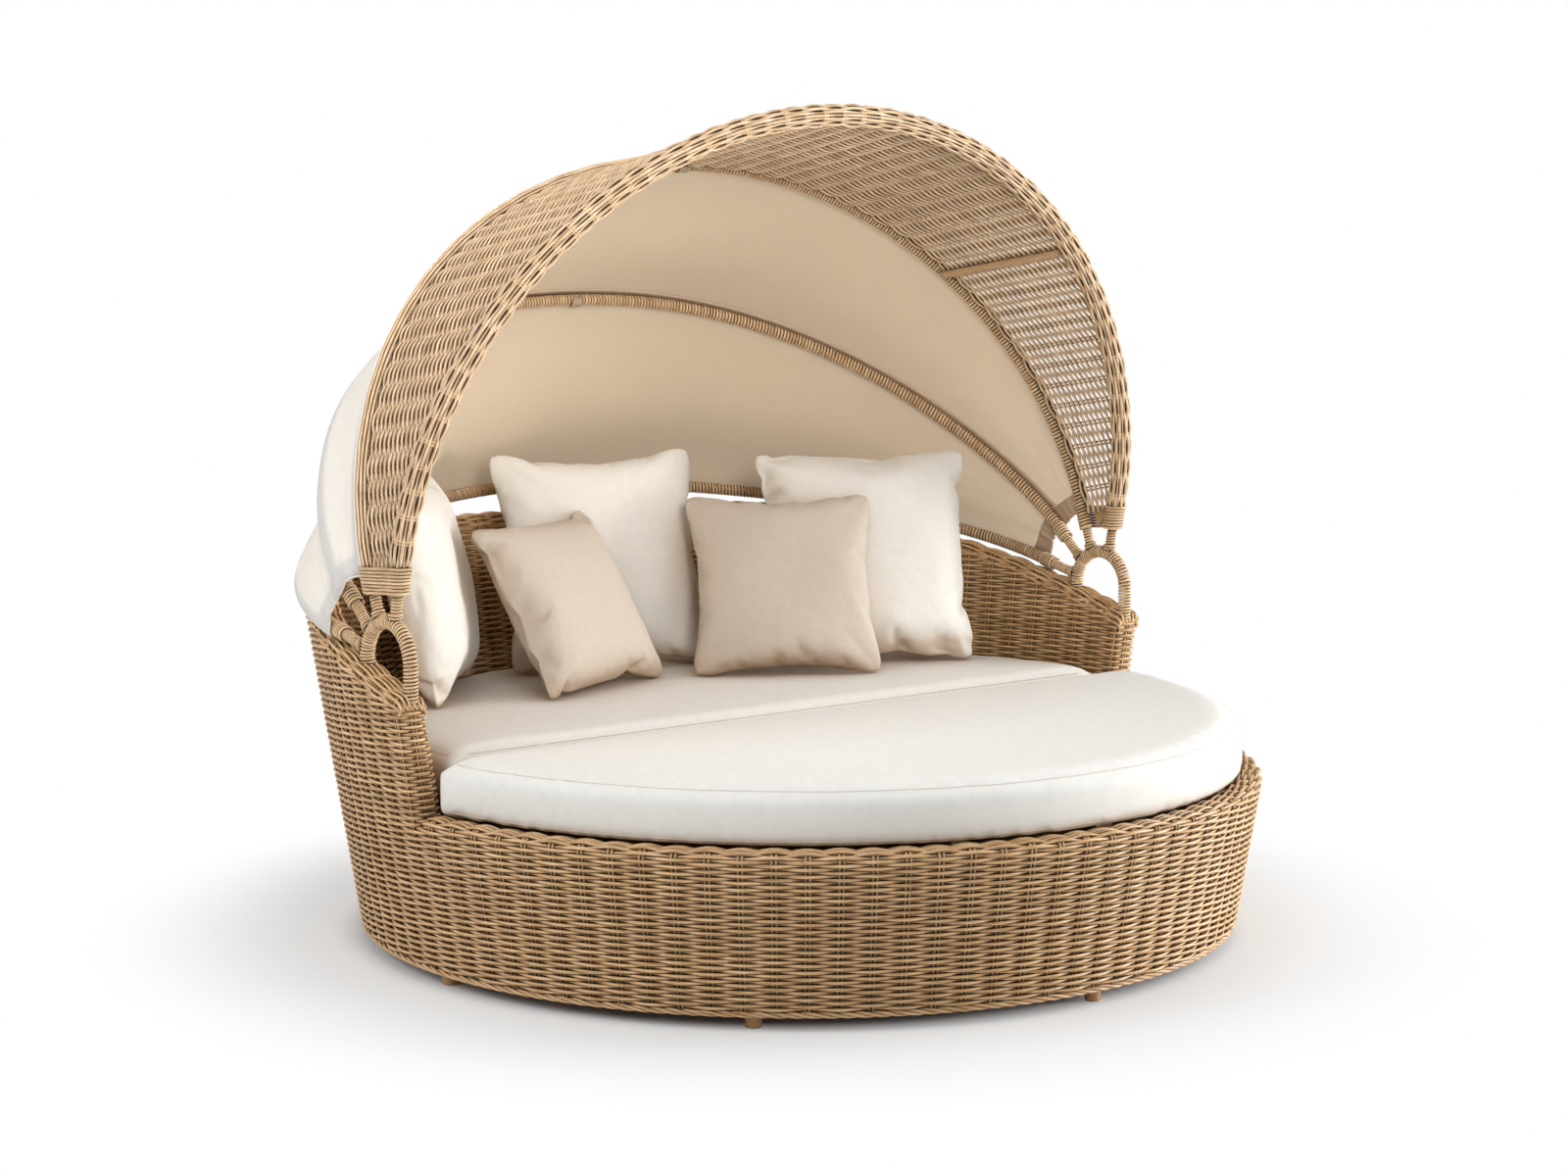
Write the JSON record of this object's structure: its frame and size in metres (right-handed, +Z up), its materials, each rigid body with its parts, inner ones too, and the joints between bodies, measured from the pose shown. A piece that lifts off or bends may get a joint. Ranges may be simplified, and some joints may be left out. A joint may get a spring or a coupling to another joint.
{
  "type": "outdoor daybed",
  "caption": "Round woven outdoor daybed: a low wicker tub with a tall back, hub loops carrying a fanned bow hood and cloth canopy, half-round seat cushions and loose square pillows.",
  "frame": {"origin": "on the ground, under the middle of the daybed's outline; the tub's own axis is 35.6 mm in front of it", "axes": "+Z up, front towards -Y, +X to the right of someone facing the front's back rest"},
  "size_m": [1.9562, 1.9522, 1.6562],
  "materials": {
    "wicker": "woven resin wicker, honey tan, satin",
    "wrap": "resin strand wound round tube, honey tan, satin",
    "frame": "powder coated tan, satin",
    "foot": "moulded, tan brown, satin",
    "cloth": "plain weave outdoor cloth, cream outside and beige inside",
    "trim": "tan webbing and facing",
    "seat": "off-white outdoor cloth, matte",
    "cream": "cream outdoor cloth, matte",
    "sand": "warm beige outdoor cloth, matte"
  },
  "bodies": {
    "base": {"base_ring": "frame", "seat_ring": "frame", "front_rail": "frame", "arm_rail": "frame", "post_1": "frame", "post_2": "frame", "post_3": "frame", "post_4": "frame", "post_5": "frame", "post_6": "frame", "post_7": "frame", "post_8": "frame", "deck_rail_1": "frame", "deck_rail_2": "frame", "deck_rail_3": "frame", "deck_rail_4": "frame", "deck_rail_5": "frame", "weave_outer": "wicker", "weave_inner": "wicker", "braid_arms": "wicker", "braid_front": "wicker", "border_bottom": "wicker", "hub_loop_right": "wrap", "hub_loop_left": "wrap", "bow_1_front": "wrap", "bow_2_hood": "wrap", "bow_3_middle": "wrap", "bow_4_rear": "wrap", "hood_panel": "wicker", "hood_wrap_right": "wrap", "hood_wrap_left": "wrap", "hood_plate_right": "trim", "hood_plate_left": "trim", "tie_bar_right": "wrap", "tie_bar_left": "wrap", "canopy_cloth": "cloth", "patch_upper_right": "trim", "patch_upper_left": "trim", "patch_lower_right": "trim", "patch_lower_left": "trim", "strap_bow_2": "trim", "strap_bow_3": "trim"},
    "foot_1": {"foot_1": "foot"},
    "foot_2": {"foot_2": "foot"},
    "foot_3": {"foot_3": "foot"},
    "foot_4": {"foot_4": "foot"},
    "foot_5": {"foot_5": "foot"},
    "foot_6": {"foot_6": "foot"},
    "foot_7": {"foot_7": "foot"},
    "foot_8": {"foot_8": "foot"},
    "front_cushion": {"seat_cushion_front": "seat"},
    "rear_cushion": {"seat_cushion_rear": "seat"},
    "large_left_pillow": {"pillow_large_left": "cream"},
    "large_centre_pillow": {"pillow_large_centre": "cream"},
    "large_right_pillow": {"pillow_large_right": "cream"},
    "throw_left_pillow": {"pillow_throw_left": "sand"},
    "throw_right_pillow": {"pillow_throw_right": "sand"}
  },
  "joints": [
    {"name": "foot_1_level", "type": "slide", "parent": "base", "child": "foot_1", "axis": [0, 0, -1], "range_m": [0, 0.01]},
    {"name": "foot_2_level", "type": "slide", "parent": "base", "child": "foot_2", "axis": [0, 0, -1], "range_m": [0, 0.01]},
    {"name": "foot_3_level", "type": "slide", "parent": "base", "child": "foot_3", "axis": [0, 0, -1], "range_m": [0, 0.01]},
    {"name": "foot_4_level", "type": "slide", "parent": "base", "child": "foot_4", "axis": [0, 0, -1], "range_m": [0, 0.01]},
    {"name": "foot_5_level", "type": "slide", "parent": "base", "child": "foot_5", "axis": [0, 0, -1], "range_m": [0, 0.01]},
    {"name": "foot_6_level", "type": "slide", "parent": "base", "child": "foot_6", "axis": [0, 0, -1], "range_m": [0, 0.01]},
    {"name": "foot_7_level", "type": "slide", "parent": "base", "child": "foot_7", "axis": [0, 0, -1], "range_m": [0, 0.01]},
    {"name": "foot_8_level", "type": "slide", "parent": "base", "child": "foot_8", "axis": [0, 0, -1], "range_m": [0, 0.01]},
    {"name": "front_cushion_lift", "type": "slide", "parent": "base", "child": "front_cushion", "axis": [0, 0, 1], "range_m": [0, 0.25]},
    {"name": "rear_cushion_lift", "type": "slide", "parent": "base", "child": "rear_cushion", "axis": [0, 0, 1], "range_m": [0, 0.05]},
    {"name": "large_left_pillow_slide", "type": "slide", "parent": "rear_cushion", "child": "large_left_pillow", "axis": [-0.6691, -0.7431, 0], "range_m": [0, 0.15]},
    {"name": "large_centre_pillow_lift", "type": "slide", "parent": "rear_cushion", "child": "large_centre_pillow", "axis": [0, 0, 1], "range_m": [0, 0.08]},
    {"name": "large_right_pillow_lift", "type": "slide", "parent": "rear_cushion", "child": "large_right_pillow", "axis": [0, 0, 1], "range_m": [0, 0.08]},
    {"name": "throw_left_pillow_slide", "type": "slide", "parent": "large_centre_pillow", "child": "throw_left_pillow", "axis": [0.3256, -0.9455, 0], "range_m": [0, 0.12]},
    {"name": "throw_right_pillow_slide", "type": "slide", "parent": "large_right_pillow", "child": "throw_right_pillow", "axis": [-0.515, -0.8572, 0], "range_m": [0, 0.12]}
  ]
}
